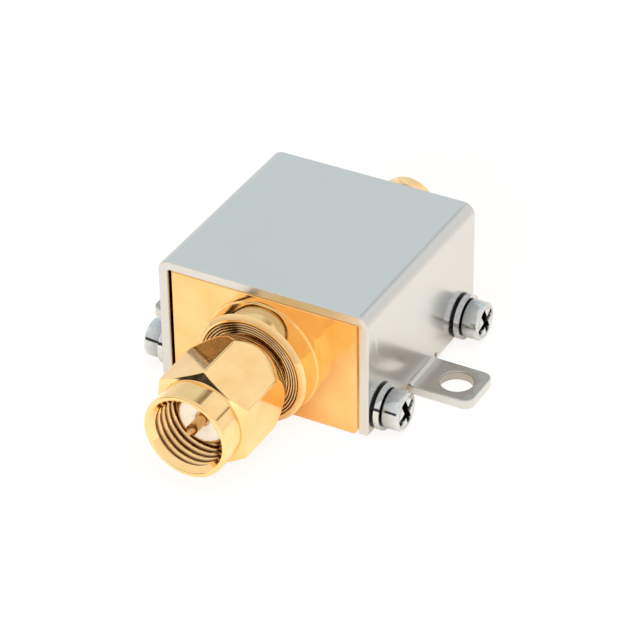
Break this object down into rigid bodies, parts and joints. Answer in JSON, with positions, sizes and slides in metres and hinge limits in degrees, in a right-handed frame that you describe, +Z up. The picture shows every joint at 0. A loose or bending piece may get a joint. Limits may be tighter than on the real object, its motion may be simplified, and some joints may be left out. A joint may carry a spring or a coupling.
{
  "type": "lc bandpass filter",
  "caption": "In-line coaxial filter: gold base with filter board under a folded sheet cover, threaded plug in front, threaded jack behind, mounting ear on each side.",
  "frame": {"origin": "middle of the base's underside", "axes": "+Z up, +Y from the plug to the jack along the connectors' axis, +X from ear to ear"},
  "size_m": [0.03, 0.0382, 0.0117],
  "materials": {
    "gold_plate": "gold plated, polished turned metal",
    "gold_contact": "gold plated contact",
    "cover_nickel": "satin nickel plated sheet",
    "screw_nickel": "bright nickel plated",
    "washer_nickel": "nickel plated",
    "washer_black": "blackened steel",
    "spring_bronze": "plain spring metal",
    "ptfe": "white, slightly waxy",
    "board_laminate": "green solder mask",
    "copper_wire": "enamelled copper",
    "chip_ceramic": "ceramic with tinned ends",
    "solder": "solder"
  },
  "bodies": {
    "filter_case": {"base": "gold_plate", "plug_body": "gold_plate", "jack_body": "gold_plate", "cover": "cover_nickel", "nut_retaining_ring": "spring_bronze", "plug_insulator": "ptfe", "jack_insulator": "ptfe", "plug_center_pin": "gold_contact", "jack_center_contact": "gold_contact", "circuit_board": "board_laminate", "screw_left_front": "screw_nickel", "lock_washer_left_front": "washer_nickel", "flat_washer_left_front": "washer_black", "screw_left_rear": "screw_nickel", "lock_washer_left_rear": "washer_nickel", "flat_washer_left_rear": "washer_black", "screw_right_front": "screw_nickel", "lock_washer_right_front": "washer_nickel", "flat_washer_right_front": "washer_black", "screw_right_rear": "screw_nickel", "lock_washer_right_rear": "washer_nickel", "flat_washer_right_rear": "washer_black", "input_coil": "copper_wire", "middle_coil": "copper_wire", "output_coil": "copper_wire", "input_series_coil": "copper_wire", "output_series_coil": "copper_wire", "input_capacitor": "chip_ceramic", "middle_capacitor": "chip_ceramic", "output_capacitor": "chip_ceramic", "input_series_capacitor": "chip_ceramic", "output_series_capacitor": "chip_ceramic", "input_solder_joint": "solder", "output_solder_joint": "solder"},
    "coupling_nut": {"coupling_nut": "gold_plate"}
  },
  "joints": [
    {"name": "coupling_nut_turn", "type": "hinge", "parent": "filter_case", "child": "coupling_nut", "pos_m": [0, -0.0171, 0.00521], "axis": [0, -1, 0], "continuous": true}
  ]
}
